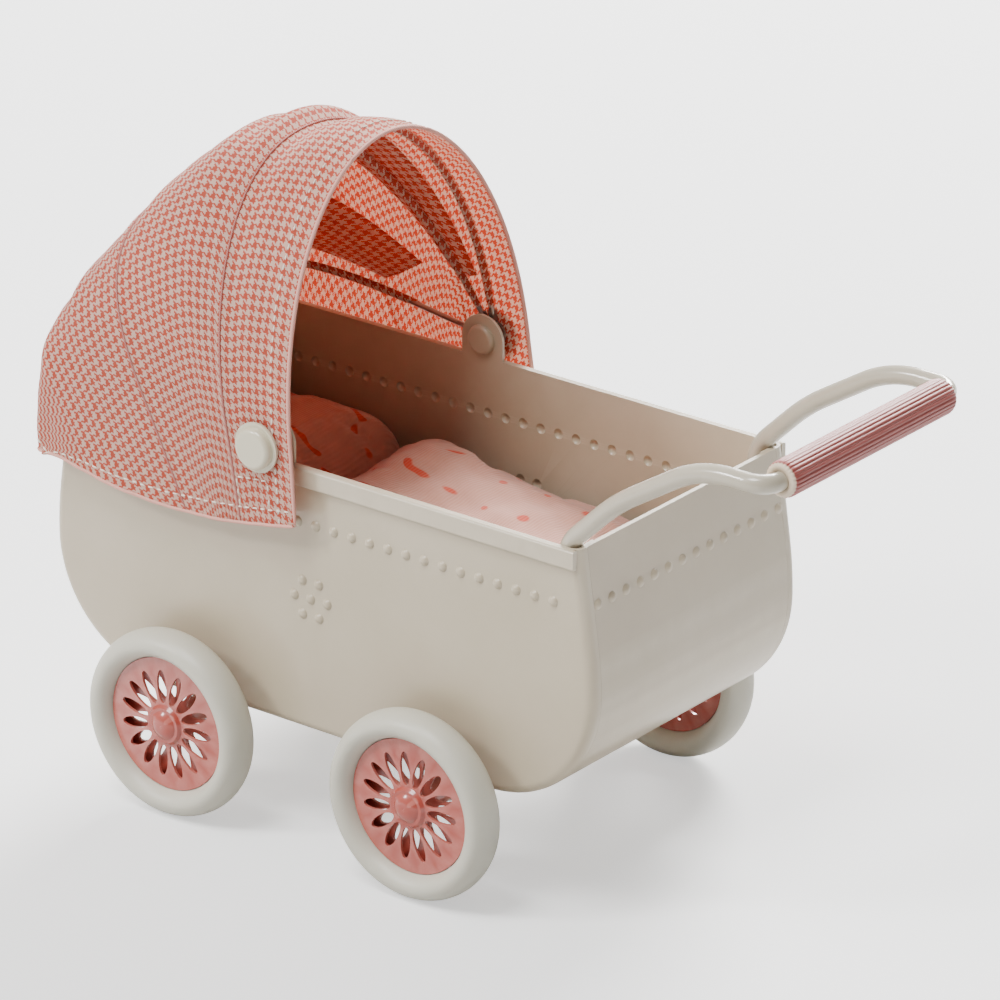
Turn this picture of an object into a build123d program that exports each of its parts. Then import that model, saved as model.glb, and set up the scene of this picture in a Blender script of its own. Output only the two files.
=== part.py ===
"""Miniature tin doll pram: folded sheet tub, four slotted disc wheels, wire handle, folding cloth hood.

Millimetres, +Z up, ground at Z = 0. +X points to the handle end, -Y is the left side of whoever pushes.
Lengths along the pram are measured from the middle of the tub, which stands at X = tub_x.
"""
from build123d import *
from math import acos, asin, atan2, cos, degrees, hypot, pi, sin
import os

os.makedirs("parts", exist_ok=True)

# ---------------------------------------------------------------- driving dimensions
sheet = 0.6                # tin sheet of the tub
paint_gap = 0.05           # what is left between pieces that are fixed to each other
running = 0.05             # radial clearance of a shaft that turns in a hole

# tub
tub_half_width = 29.7      # outer face of a side sheet
tub_half_length = 60.4     # fullest part of an end wall
rim_fall = 3.2             # how far each end wall leans in at the rim
floor_over_axle = 2.7      # underside of the tub above the axles
corner_radius = 23.0       # bottom corners of the side outline
belly_radius = 70.0        # end wall just above the corner
rim_z = 70.6
side_edge_radius = 1.8     # pressed edge all round a side sheet
side_flange = 2.6          # how far a side sheet turns in over the ends and floor
lip_reach = 3.0            # joggled lip of the wrap under the side's flange
hem_depth = 3.6            # folded hem along a side's rim
hem_stand = 0.9
hem_setback = 0.4          # hem stops short of the tub's corner
end_hem_depth = 2.4

# embossed dots
bead_radius = 1.0
bead_height = 0.6
bead_row_drop = 10.6       # below the rim
bead_pitch = 4.0
row_margin = 2.7           # from the last dot of a row to the corner
flower_radius = 3.7
flower_petals = 6
flower_drop = 24.8
flower_shift = 1.3         # the two side sheets are one pressing, turned round

# hood pivot, at an ear of each side sheet
pivot_back = 9.3
pivot_over_rim = 3.4
ear_radius = 4.6
ear_foot_fillet = 1.6
stud_radius = 1.2
stud_head_radius = 2.8
stud_head_height = 1.0
eyelet_radius = 2.4
eyelet_thickness = 0.5
eyelet_stand = 1.35        # first eyelet's middle, from the side sheet
eyelet_pitch = 0.85        # from one bow's eyelet to the next along the stud
snap_ring_radius = 4.6
snap_ring_height = 0.5
snap_cap_radius = 3.8
snap_cap_height = 1.5

# hood
bow_wire = 1.0
neck_reach = 4.5           # flattened end of a bow, from the pivot
neck_width = 1.6
cloth = 0.5
cloth_gap = 0.3
front_bow_angle = 97.1     # from +X, seen from the left side
middle_bow_angle = 121.0
rear_bow_angle = 172.0
front_edge_reach = 8.0     # cloth in front of the front bow
front_rise = 48.9          # cloth above the pivot along each bow
middle_rise = 51.5
half_way_rise = 51.3       # between the middle and rear bows the cloth sags a little
skirt_stand = 1.2          # cloth off the end wall behind the tub
skirt_drop = 12.0          # skirt's hem below the rim
front_square = 2.0         # how boxy each arch is: 2 is an ellipse
middle_square = 2.3
half_way_square = 4.0
skirt_square = 12.0          # the skirt passes round the tub's corners
pivot_hole = 1.8           # cloth is punched for the stud

# wheels
wheel_radius = 17.5
wheelbase = 55.0
wheel_stand = 7.4          # wheel's middle plane from the side sheet
tyre_half_width = 3.7
tyre_half_depth = 2.5
disc_gap = 0.06
disc_plate = 0.5
disc_stand = 0.8           # disc edge from the wheel's middle plane
disc_crown = 0.4           # how far the disc rises from its edge to its hub
disc_flange = 0.6
boss_radius = 3.8
boss_height = 0.6
dome_radius = 2.7
dome_height = 0.9
slot_count = 15
slot_inner = 4.1
slot_outer = 10.3
slot_half_width = 1.05
axle_radius = 1.5
hub_radius = 2.4

# axle brackets under the floor
ear_setback = 1.4          # bracket ear inside the side sheet's face
bracket_sheet = 0.8
bracket_half_length = 9.0
bracket_depth_y = 9.0
bracket_ear_radius = 2.6
hub_end_play = 0.3
rivet_radius = 1.0
rivet_head_radius = 1.8
rivet_head_height = 0.7
rivet_spread = 6.0

# handle
rod_radius = 1.7
leg_setback = 4.2          # leg inside the end of the rim
leg_depth = 30.6           # leg's foot below the rim
bend_drop = 0.6            # leg's bend below the rim
rise_out, rise_up = 10.6, 9.8
slope_out = 17.4
grip_out = 13.5
grip_over_rim = 20.7
rod_bends = [8.0, 40.0, 22.0, 3.8]
grip_radius = 3.3
grip_margin = 3.75         # grip's end to the leg's line
strap_sheet = 0.5
strap_drop = 20.6          # strap below the rim
strap_height = 6.0
strap_tab = 3.0

# bedding
bed_side_gap = 1.5         # cloth to the side sheet
bed_gap = 0.4
mattress_height = 12.5
pillow_end_gap = 5.4       # pillow to the end wall
pillow_foot_x = -22.5
pillow_height = 21.0
pillow_round = 7.0
duvet_head_x = -21.5
duvet_leg_gap = 3.0        # duvet to the handle's leg line
duvet_head_height = 20.0
duvet_foot_height = 15.0
duvet_round = 5.0

# ---------------------------------------------------------------- places that follow
rim_half_length = tub_half_length - rim_fall
floor_z = wheel_radius + floor_over_axle
pivot_z = rim_z + pivot_over_rim
skirt_rise = tub_half_length - pivot_back + skirt_stand
skirt_hem_z = rim_z - skirt_drop
side_beads_each_way = int((rim_half_length - row_margin) / bead_pitch)
end_beads = int(2 * (tub_half_width - row_margin) / bead_pitch) + 1
wheel_mid_y = tub_half_width + wheel_stand
ear_outer_y = tub_half_width - ear_setback
leg_x = rim_half_length - leg_setback
leg_foot_z = rim_z - leg_depth
leg_bend_z = rim_z - bend_drop
rise_knee_x, rise_knee_z = leg_x + rise_out, rim_z + rise_up
top_knee_x = rise_knee_x + slope_out
grip_x = top_knee_x + grip_out
grip_z = rim_z + grip_over_rim
strap_z = rim_z - strap_drop
pillow_head_x = pillow_end_gap - tub_half_length
duvet_foot_x = leg_x - duvet_leg_gap
front_reach = grip_x + grip_radius
rear_reach = pivot_back + skirt_rise
tub_x = (rear_reach - front_reach) / 2
pivot_x = tub_x - pivot_back
inner_half_width = tub_half_width - sheet
corner_x = tub_half_length - corner_radius
full_z = floor_z + corner_radius
rim_climb = rim_z - full_z
belly_angle = atan2(rim_climb, belly_radius - rim_fall) - acos(
    belly_radius / hypot(rim_climb, belly_radius - rim_fall)
)
bead_z = rim_z - bead_row_drop
bead_ball = (bead_radius**2 + bead_height**2) / (2 * bead_height)
leg_y = inner_half_width - paint_gap - rod_radius
grip_half_length = leg_y - grip_margin
rear_eyelet_y = tub_half_width + eyelet_stand
middle_eyelet_y = rear_eyelet_y + eyelet_pitch
front_eyelet_y = middle_eyelet_y + eyelet_pitch
cloth_inner_y = front_eyelet_y + bow_wire / 2 + cloth_gap
cloth_outer_y = cloth_inner_y + cloth
rear_rise = skirt_rise / cos((180 - rear_bow_angle) * pi / 180)
bed_inset = 2 * sheet + bed_gap
mattress_top = floor_z + bed_inset + mattress_height
bed_half_width = inner_half_width - bed_side_gap
disc_edge_radius = (
    wheel_radius
    - tyre_half_depth
    - tyre_half_depth * (1 - (disc_stand / tyre_half_width) ** 2) ** 0.5
    - disc_gap
)

LEFT, RIGHT = -1, 1
SIDES = {"left": LEFT, "right": RIGHT}
ENDS = {"hood_end": -wheelbase / 2, "handle_end": wheelbase / 2}


def side_plane(y):
    """Upright plane across Y; its own x runs along the tub from the tub's middle, its own y is Z."""
    return Plane(origin=(tub_x, y, 0), x_dir=(1, 0, 0), z_dir=(0, -1, 0))


def bow_plane(angle, forward=0.0):
    """Plane of a bow: its own x is Y, its own y points from the pivot line along the bow. forward moves
    it square to itself, towards the handle end."""
    a = angle * pi / 180
    ahead = (sin(a), 0, -cos(a))
    origin = (pivot_x + forward * ahead[0], 0, pivot_z + forward * ahead[2])
    return Plane(origin=origin, x_dir=(0, 1, 0), z_dir=ahead)


def arch_points(half_width, rise, square, steps=24):
    """Points of an arch between (half_width, 0) and (-half_width, 0): a superellipse of power square."""
    points = []
    for i in range(steps + 1):
        t = pi * i / steps
        across = abs(cos(t)) ** (2 / square) * (1 if t < pi / 2 else -1)
        points.append((half_width * across, rise * abs(sin(t)) ** (2 / square)))
    return points


def save(part, name):
    part.label = name
    export_step(part, f"parts/{name}.step")


def tub_block(inset, top, half_width):
    """Solid with the tub's side outline, inset by a distance, up to the height top: floor, corner arc,
    belly arc and a straight end wall that leans in to the rim. It reaches half_width to each side."""
    angle = degrees(belly_angle)
    belly_x = tub_half_length - belly_radius
    end_x = belly_x + (belly_radius - inset) * cos(belly_angle)
    end_z = full_z + (belly_radius - inset) * sin(belly_angle)
    top_x = end_x - (top - end_z) * sin(belly_angle) / cos(belly_angle)
    with BuildPart() as block:
        with BuildSketch(side_plane(0)):
            with BuildLine():
                Line((0, floor_z + inset), (corner_x, floor_z + inset))
                CenterArc((corner_x, full_z), corner_radius - inset, -90, 90)
                CenterArc((belly_x, full_z), belly_radius - inset, 0, angle)
                Polyline((end_x, end_z), (top_x, top), (0, top), (0, floor_z + inset))
            make_face()
            mirror(about=Plane.YZ)
        extrude(amount=half_width, both=True)
    return block.part


def rounded_tub(inset, top):
    """The same solid over the side sheets' full width, with their pressed edge all round."""
    with BuildPart() as block:
        add(tub_block(inset, top, tub_half_width - inset))
        faces = block.faces().filter_by(Axis.Y).sort_by(Axis.Y)
        edges = faces[0].edges() + faces[-1].edges()
        fillet(edges.filter_by(lambda e: e.center().Z < top - paint_gap), side_edge_radius - inset)
    return block.part


def wall_x(z):
    """Outer face of an end wall at a height on its straight stretch."""
    return rim_half_length + (rim_z - z) * sin(belly_angle) / cos(belly_angle)


# ---------------------------------------------------------------- tub sides
tub_outside = rounded_tub(0, rim_z)
tub_inside = rounded_tub(sheet, rim_z + 2 * hem_depth)
for side_name, sign in SIDES.items():
    face_y = sign * tub_half_width
    flower_x = -flower_shift if sign == LEFT else flower_shift
    with BuildPart() as dots:
        with Locations((tub_x, sign * (tub_half_width + bead_height - bead_ball), bead_z)):
            with GridLocations(bead_pitch, bead_pitch, 2 * side_beads_each_way + 1, 1):
                Sphere(bead_ball)
        with BuildSketch(side_plane(0)) as flower_spots:
            with Locations((flower_x, rim_z - flower_drop)):
                Circle(bead_radius)
                with PolarLocations(flower_radius, flower_petals):
                    Circle(bead_radius)
        spots = [f.center() for f in flower_spots.sketch.faces()]
        with Locations([(s.X, sign * (tub_half_width + bead_height - bead_ball), s.Z) for s in spots]):
            Sphere(bead_ball)
        split(bisect_by=Plane.XZ.offset(-sign * (tub_half_width - sheet / 2)),
              keep=Keep.BOTTOM if sign > 0 else Keep.TOP)
    with BuildPart() as side:
        add(tub_outside)
        add(tub_inside, mode=Mode.SUBTRACT)
        split(bisect_by=Plane.XZ.offset(-sign * (tub_half_width - side_flange)),
              keep=Keep.BOTTOM if sign > 0 else Keep.TOP)
        # folded hem along the rim
        with BuildSketch(Plane.YZ.offset(tub_x - rim_half_length + hem_setback)):
            with Locations((sign * (tub_half_width + hem_stand / 2 - sheet / 4), rim_z - hem_depth / 2)):
                RectangleRounded(hem_stand + sheet / 2, hem_depth, hem_stand / 2)
        extrude(amount=2 * (rim_half_length - hem_setback))
        # ear that carries the hood
        with BuildSketch(side_plane(face_y)) as ear:
            with Locations((-pivot_back, pivot_z)):
                Circle(ear_radius)
            with Locations((-pivot_back, (rim_z - hem_depth + pivot_z) / 2)):
                Rectangle(2 * ear_radius, pivot_z - rim_z + hem_depth)
            with Locations((-pivot_back, rim_z - hem_depth / 2)):
                Rectangle(2 * ear_radius + 4 * ear_foot_fillet, hem_depth)
            feet = [v for v in ear.vertices()
                    if abs(v.Z - rim_z) < sheet / 4 and abs(v.X - pivot_x) < ear_radius + paint_gap]
            fillet(feet, ear_foot_fillet)
        extrude(amount=sign * sheet)
        add(dots.part)
        with Locations([(s.X, sign * (tub_half_width + bead_height - bead_ball - sheet), s.Z) for s in spots]):
            Sphere(bead_ball, mode=Mode.SUBTRACT)
        with Locations((tub_x, sign * (tub_half_width + bead_height - bead_ball - sheet), bead_z)):
            with GridLocations(bead_pitch, bead_pitch, 2 * side_beads_each_way + 1, 1):
                Sphere(bead_ball, mode=Mode.SUBTRACT)
        with BuildSketch(side_plane(face_y)):
            with Locations((-pivot_back, pivot_z)):
                Circle(stud_radius + paint_gap)
        extrude(amount=2 * sheet, both=True, mode=Mode.SUBTRACT)
    save(side.part, f"tub_side_{side_name}")

# ---------------------------------------------------------------- ends and floor, one strip
skin_half_width = tub_half_width - side_flange - paint_gap
with BuildPart() as end_dots:
    for sign in (-1, 1):
        out = (sign * cos(belly_angle), 0, sin(belly_angle))
        wall = (tub_x + sign * wall_x(bead_z), 0, bead_z)
        sunk = bead_ball - bead_height
        with BuildPart(mode=Mode.PRIVATE) as row:
            with Locations((wall[0] - sunk * out[0], 0, bead_z - sunk * out[2])):
                with GridLocations(bead_pitch, bead_pitch, 1, end_beads):
                    Sphere(bead_ball, rotation=(0, 0, 90))
            inside = (wall[0] - out[0] * sheet / 2, 0, bead_z - out[2] * sheet / 2)
            split(bisect_by=Plane(origin=inside, z_dir=out), keep=Keep.TOP)
        add(row.part)
tall = rim_z + hem_depth
lip_half_width = skin_half_width - lip_reach
with BuildPart() as wrap:
    add(tub_block(0, rim_z, skin_half_width))
    add(tub_block(sheet + paint_gap, rim_z, tub_half_width - side_edge_radius))
    add(tub_block(sheet + 2 * paint_gap, tall, lip_half_width), mode=Mode.SUBTRACT)
    add(tub_block(2 * sheet, tall, tub_half_width), mode=Mode.SUBTRACT)
    # hem folded inwards along both ends
    with BuildSketch(Plane.XY.offset(rim_z)):
        with Locations((tub_x, 0)):
            Rectangle(2 * rim_half_length - sheet, 2 * lip_half_width + paint_gap)
            Rectangle(2 * (wall_x(rim_z - end_hem_depth) - 2 * sheet), 4 * tub_half_width, mode=Mode.SUBTRACT)
    extrude(amount=-end_hem_depth)
    add(end_dots.part)
save(wrap.part, "tub_ends_and_floor")

# ---------------------------------------------------------------- axle brackets, rivets, axles
for end_name, along in ENDS.items():
    for side_name, sign in SIDES.items():
        with BuildPart() as bracket:
            with Locations((tub_x + along, sign * (ear_outer_y - bracket_depth_y / 2),
                            floor_z - paint_gap - bracket_sheet / 2)):
                Box(2 * bracket_half_length, bracket_depth_y, bracket_sheet)
            fillet(bracket.edges().filter_by(Axis.Z), bracket_sheet)
            with BuildSketch(side_plane(sign * ear_outer_y)) as bracket_ear:
                with Locations((along, wheel_radius)):
                    Circle(bracket_ear_radius)
                top = floor_z - paint_gap
                with Locations((along, (wheel_radius + top) / 2)):
                    Rectangle(2 * bracket_ear_radius, top - wheel_radius)
            extrude(amount=sign * bracket_sheet)
            with BuildSketch(side_plane(0)):
                with Locations((along, wheel_radius)):
                    Circle(axle_radius + running)
            extrude(amount=-sign * tub_half_width, mode=Mode.SUBTRACT)
            with Locations((tub_x + along - rivet_spread, sign * (ear_outer_y - bracket_depth_y / 2), floor_z),
                           (tub_x + along + rivet_spread, sign * (ear_outer_y - bracket_depth_y / 2), floor_z)):
                Cylinder(rivet_radius + paint_gap, 4 * bracket_sheet, mode=Mode.SUBTRACT)
        save(bracket.part, f"bracket_{end_name}_{side_name}")

with BuildPart() as rivets:
    for along in ENDS.values():
        for sign in SIDES.values():
            for step in (-rivet_spread, rivet_spread):
                spot = (tub_x + along + step, sign * (ear_outer_y - bracket_depth_y / 2))
                head_top = floor_z - paint_gap - bracket_sheet
                with Locations((*spot, head_top - rivet_head_height)):
                    Cylinder(rivet_head_radius, rivet_head_height, align=(Align.CENTER, Align.CENTER, Align.MIN))
                with Locations((*spot, head_top)):
                    Cylinder(rivet_radius, floor_z - paint_gap - head_top, align=(Align.CENTER, Align.CENTER, Align.MIN))
    fillet(rivets.edges().group_by(Axis.Z)[0], rivet_head_height / 2)
save(rivets.part, "bracket_rivets")

hub_inner_y = ear_outer_y + hub_end_play
disc_face_y = wheel_mid_y + disc_stand
axle_half_length = disc_face_y + disc_crown + boss_height - disc_plate
for end_name, along in ENDS.items():
    with BuildPart() as axle:
        with BuildSketch(side_plane(0)):
            with Locations((along, wheel_radius)):
                Circle(axle_radius)
        extrude(amount=axle_half_length, both=True)
        chamfer(axle.edges().filter_by(GeomType.CIRCLE), axle_radius / 4)
    save(axle.part, f"axle_{end_name}")


# ---------------------------------------------------------------- wheels
def wheel_section(along, sign):
    """Plane that holds a wheel's section: own x is the radius, own y is the distance out from the tub."""
    return Plane(origin=(tub_x + along, 0, wheel_radius), x_dir=(1, 0, 0), z_dir=(0, 0, sign))


with BuildSketch() as petal:
    Ellipse((slot_outer - slot_inner) / 2, slot_half_width)


def half_disc(along, sign, out, domed):
    """Pressed wheel disc. out is 1 for the outer disc and -1 for the inner one."""
    plane = wheel_section(along, sign)
    edge = wheel_mid_y + out * disc_stand
    crown = edge + out * disc_crown
    skin = out * disc_plate
    rim_in = disc_edge_radius - disc_plate
    with BuildPart() as disc:
        with BuildSketch(plane):
            with BuildLine():
                if domed:
                    boss = crown + out * boss_height
                    ThreePointArc((0, boss + skin + out * dome_height),
                                  (dome_radius * 0.6, boss + skin + out * dome_height * 0.8),
                                  (dome_radius, boss + skin))
                    Polyline((dome_radius, boss + skin), (boss_radius - disc_plate, boss + skin),
                             (boss_radius, crown + skin), (disc_edge_radius, edge + skin),
                             (disc_edge_radius, edge), (rim_in + disc_plate / 2, edge),
                             (rim_in + disc_plate / 2, edge - out * disc_flange),
                             (rim_in - disc_plate / 2, edge - out * disc_flange),
                             (rim_in - disc_plate / 2, edge), (boss_radius - disc_plate, crown),
                             (dome_radius, boss), (0, boss), (0, boss + skin + out * dome_height))
                else:
                    Polyline((axle_radius + paint_gap, crown + skin), (boss_radius, crown + skin),
                             (disc_edge_radius, edge + skin), (disc_edge_radius, edge),
                             (rim_in + disc_plate / 2, edge),
                             (rim_in + disc_plate / 2, edge - out * disc_flange),
                             (rim_in - disc_plate / 2, edge - out * disc_flange),
                             (rim_in - disc_plate / 2, edge), (boss_radius, crown),
                             (axle_radius + paint_gap, crown), (axle_radius + paint_gap, crown + skin))
            make_face()
        revolve(axis=Axis(plane.origin, plane.y_dir))
        with BuildSketch(side_plane(sign * wheel_mid_y)):
            with Locations((along, wheel_radius)):
                with PolarLocations((slot_inner + slot_outer) / 2, slot_count):
                    add(petal.sketch)
        extrude(amount=2 * (disc_stand + disc_crown + boss_height), both=True, mode=Mode.SUBTRACT)
    return disc.part


for end_name, along in ENDS.items():
    for side_name, sign in SIDES.items():
        place = f"{end_name}_{side_name}"
        plane = wheel_section(along, sign)
        with BuildPart() as tyre:
            with BuildSketch(plane):
                with Locations((wheel_radius - tyre_half_depth, wheel_mid_y)):
                    Ellipse(tyre_half_depth, tyre_half_width)
            revolve(axis=Axis(plane.origin, plane.y_dir))
        save(tyre.part, f"tyre_{place}")
        save(half_disc(along, sign, 1, True), f"outer_disc_{place}")
        save(half_disc(along, sign, -1, False), f"inner_disc_{place}")
        with BuildPart() as hub:
            inner_face = wheel_mid_y - disc_stand - disc_crown
            with BuildSketch(side_plane(sign * hub_inner_y)):
                with Locations((along, wheel_radius)):
                    Circle(hub_radius)
                    Circle(axle_radius + paint_gap, mode=Mode.SUBTRACT)
            extrude(amount=-sign * (inner_face - disc_plate - paint_gap - hub_inner_y))
        save(hub.part, f"hub_{place}")

# ---------------------------------------------------------------- handle
with BuildPart() as handle:
    with BuildLine() as rod_path:
        near = [(leg_x, leg_foot_z), (leg_x, leg_bend_z), (rise_knee_x, rise_knee_z), (top_knee_x, grip_z),
                (grip_x, grip_z)]
        corners = [(tub_x + x, -leg_y, z) for x, z in near] + [(tub_x + x, leg_y, z) for x, z in near[::-1]]
        FilletPolyline(*corners, radius=rod_bends + rod_bends[::-1])
    with BuildSketch(Plane(origin=corners[0], z_dir=(0, 0, 1))):
        Circle(rod_radius)
    sweep()
save(handle.part, "handle_rod")

with BuildPart() as grip:
    with BuildSketch(Plane(origin=(tub_x + grip_x, 0, grip_z), x_dir=(1, 0, 0), z_dir=(0, -1, 0))):
        Circle(grip_radius)
        Circle(rod_radius + paint_gap, mode=Mode.SUBTRACT)
    extrude(amount=grip_half_length, both=True)
    rims = grip.edges().filter_by(GeomType.CIRCLE).filter_by(lambda e: e.radius > (rod_radius + grip_radius) / 2)
    fillet(rims, grip_radius / 6)
save(grip.part, "handle_grip")

for side_name, sign in SIDES.items():
    with BuildPart() as strap:
        with BuildSketch(Plane.XY.offset(strap_z - strap_height / 2)):
            sheet_face = inner_half_width - paint_gap
            with Locations((tub_x + leg_x, sign * (sheet_face - strap_sheet / 2))):
                Rectangle(2 * (rod_radius + paint_gap + strap_sheet + strap_tab), strap_sheet)
            with Locations((tub_x + leg_x, sign * leg_y)):
                Circle(rod_radius + paint_gap + strap_sheet)
            with Locations((tub_x + leg_x, sign * (leg_y + sheet_face) / 2)):
                Rectangle(2 * (rod_radius + paint_gap + strap_sheet), sheet_face - leg_y)
            with Locations((tub_x + leg_x, sign * leg_y)):
                Circle(rod_radius + paint_gap, mode=Mode.SUBTRACT)
            with Locations((tub_x + leg_x, sign * (leg_y + sheet_face))):
                Rectangle(2 * (rod_radius + paint_gap), 2 * sheet_face, mode=Mode.SUBTRACT)
        extrude(amount=strap_height)
    save(strap.part, f"handle_strap_{side_name}")

# ---------------------------------------------------------------- hood: studs, snaps, bows
for side_name, sign in SIDES.items():
    head_y = inner_half_width - paint_gap
    ring_y = cloth_outer_y + paint_gap
    tip_y = ring_y + snap_ring_height + snap_cap_height / 2
    hole_r = stud_radius + paint_gap
    with BuildPart() as stud:
        with BuildSketch(side_plane(sign * head_y)):
            with Locations((-pivot_back, pivot_z)):
                Circle(stud_head_radius)
        extrude(amount=sign * stud_head_height)
        inner = stud.faces().sort_by(Axis.Y)[0 if sign > 0 else -1]
        fillet(inner.edges(), stud_head_height * 0.7)
        with BuildSketch(side_plane(sign * head_y)):
            with Locations((-pivot_back, pivot_z)):
                Circle(stud_radius)
        extrude(amount=-sign * (tip_y - head_y))
    save(stud.part, f"hood_stud_{side_name}")
    with BuildPart() as snap:
        with BuildSketch(side_plane(sign * ring_y)):
            with Locations((-pivot_back, pivot_z)):
                Circle(snap_ring_radius)
        extrude(amount=-sign * snap_ring_height)
        with BuildSketch(side_plane(sign * (ring_y + snap_ring_height))):
            with Locations((-pivot_back, pivot_z)):
                Circle(snap_cap_radius)
        extrude(amount=-sign * snap_cap_height)
        top = snap.faces().sort_by(Axis.Y)[-1 if sign > 0 else 0]
        fillet(top.edges(), snap_cap_height * 0.6)
        with BuildSketch(side_plane(sign * ring_y)):
            with Locations((-pivot_back, pivot_z)):
                Circle(hole_r)
        extrude(amount=-sign * (tip_y + paint_gap - ring_y), mode=Mode.SUBTRACT)
    save(snap.part, f"hood_snap_{side_name}")
    with BuildPart() as washer:
        with BuildSketch(side_plane(sign * (tub_half_width + paint_gap))):
            with Locations((-pivot_back, pivot_z)):
                Circle(eyelet_radius)
                Circle(stud_radius + paint_gap, mode=Mode.SUBTRACT)
        extrude(amount=-sign * (eyelet_stand - eyelet_thickness / 2 - 2 * paint_gap))
    save(washer.part, f"hood_washer_{side_name}")

under_cloth = cloth + cloth_gap + bow_wire / 2
BOWS = {
    "hood_bow_front": (front_bow_angle, front_eyelet_y, front_rise - under_cloth, front_square),
    "hood_bow_middle": (middle_bow_angle, middle_eyelet_y, middle_rise - under_cloth, front_square),
    "hood_bow_rear": (rear_bow_angle, rear_eyelet_y, rear_rise - under_cloth - bow_wire, half_way_square),
}
for bow_name, (angle, eyelet_y, rise, square) in BOWS.items():
    plane = bow_plane(angle)
    start = degrees(asin((neck_reach - neck_width / 2) / rise))
    with BuildPart() as bow:
        with BuildLine(plane) as bow_path:
            if square > 3:
                path = arch_points(eyelet_y, rise, square, 12)[1:-1]
                foot = neck_reach - neck_width / 2
                Spline(*([(eyelet_y, foot)] + path + [(-eyelet_y, foot)]))
            else:
                EllipticalCenterArc((0, 0), eyelet_y, rise, start, arc_size=180 - 2 * start)
        with BuildSketch(Plane(origin=bow_path.line @ 0, z_dir=bow_path.line % 0)):
            Circle(bow_wire / 2)
        sweep()
        for sign in SIDES.values():
            face = sign * (eyelet_y - eyelet_thickness / 2)
            with BuildSketch(Plane(origin=(pivot_x, face, pivot_z), x_dir=plane.y_dir, z_dir=(0, sign, 0))):
                Circle(eyelet_radius)
                with Locations((neck_reach / 2, 0)):
                    Rectangle(neck_reach, neck_width)
                Circle(stud_radius + running, mode=Mode.SUBTRACT)
            extrude(amount=eyelet_thickness)
    save(bow.part, bow_name)


# ---------------------------------------------------------------- hood: cloth
def arch_block(stations, inset):
    """Solid under the cloth between bow planes. Each station is (angle, forward, rise, square)."""
    with BuildPart() as block:
        for angle, forward, rise, square in stations:
            with BuildSketch(bow_plane(angle, forward)):
                points = [p for p in arch_points(cloth_outer_y - inset, rise - inset, square)
                          if p[1] > 2 * pivot_hole]
                foot = pivot_hole * (0.6 if inset else 0.8)
                half = cloth_outer_y - inset
                with BuildLine():
                    Spline(*([(half, foot)] + points + [(-half, foot)]))
                    Line((-half, foot), (half, foot))
                make_face()
        loft()
    return block.part


def punched(outer, inner, name, extra=None):
    with BuildPart() as panel:
        add(outer)
        add(inner, mode=Mode.SUBTRACT)
        with BuildSketch(side_plane(0)):
            with Locations((-pivot_back, pivot_z)):
                Circle(pivot_hole)
        extrude(amount=wheel_mid_y, both=True, mode=Mode.SUBTRACT)
    save(panel.part, name)


seam = cloth_gap / 2
front_stations = [(front_bow_angle, 0.0, front_rise, front_square),
                  (middle_bow_angle, seam, middle_rise, middle_square)]
middle_stations = [(middle_bow_angle, -seam, middle_rise, middle_square),
                   ((middle_bow_angle + rear_bow_angle) / 2, 0.0, half_way_rise, half_way_square),
                   (rear_bow_angle, seam, rear_rise, skirt_square)]


def front_block(inset):
    """Cloth ahead of the middle bow: tapering back to that bow, and level ahead of the front bow."""
    plane = bow_plane(front_bow_angle)
    half = cloth_outer_y - inset
    with BuildPart() as block:
        add(arch_block(front_stations, inset))
        with BuildSketch(plane):
            points = [p for p in arch_points(half, front_rise - inset, front_square) if p[1] > 2 * pivot_hole]
            foot = pivot_hole * (0.6 if inset else 0.8)
            with BuildLine():
                Spline(*([(half, foot)] + points + [(-half, foot)]))
                Line((-half, foot), (half, foot))
            make_face()
        extrude(amount=front_edge_reach, dir=(1, 0, 0))
    return block.part


punched(front_block(0), front_block(cloth), "hood_cloth_front")
punched(arch_block(middle_stations, 0), arch_block(middle_stations, cloth), "hood_cloth_middle")


def skirt_block(inset, bottom):
    """Upright block inside the skirt: the rear arch laid flat, run straight on towards the handle end."""
    half = cloth_outer_y - inset
    points = arch_points(half, skirt_rise - inset, skirt_square)
    with BuildPart() as block:
        with BuildSketch(Plane(origin=(pivot_x, 0, bottom), x_dir=(0, 1, 0), z_dir=(0, 0, 1))):
            with BuildLine():
                Spline(*points, tangents=[(0, 1), (0, -1)])
                Polyline(points[-1], (-half, -2 * front_edge_reach), (half, -2 * front_edge_reach), points[0])
            make_face()
        extrude(amount=pivot_z)
    return block.part


with BuildPart() as skirt:
    add(skirt_block(0, skirt_hem_z))
    add(skirt_block(cloth, skirt_hem_z - cloth), mode=Mode.SUBTRACT)
    with BuildSketch(side_plane(0)):
        lean = cos(front_bow_angle * pi / 180) / sin(front_bow_angle * pi / 180)
        climb = sin(rear_bow_angle * pi / 180) / cos(rear_bow_angle * pi / 180)
        top = pivot_z - seam
        edge = front_edge_reach - pivot_back
        far = 2 * tub_half_length
        with BuildLine():
            Polyline((edge + lean * (skirt_hem_z - cloth - pivot_z), skirt_hem_z - cloth),
                     (edge, top), (-pivot_back, top), (-pivot_back - far, top - climb * far),
                     (-pivot_back - far, 2 * far), (far, 2 * far), (far, skirt_hem_z - cloth),
                     (edge + lean * (skirt_hem_z - cloth - pivot_z), skirt_hem_z - cloth))
        make_face()
    extrude(amount=wheel_mid_y, both=True, mode=Mode.SUBTRACT)
    with BuildSketch(side_plane(0)):
        with Locations((-pivot_back, pivot_z)):
            Circle(pivot_hole)
    extrude(amount=wheel_mid_y, both=True, mode=Mode.SUBTRACT)
save(skirt.part, "hood_skirt")

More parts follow.
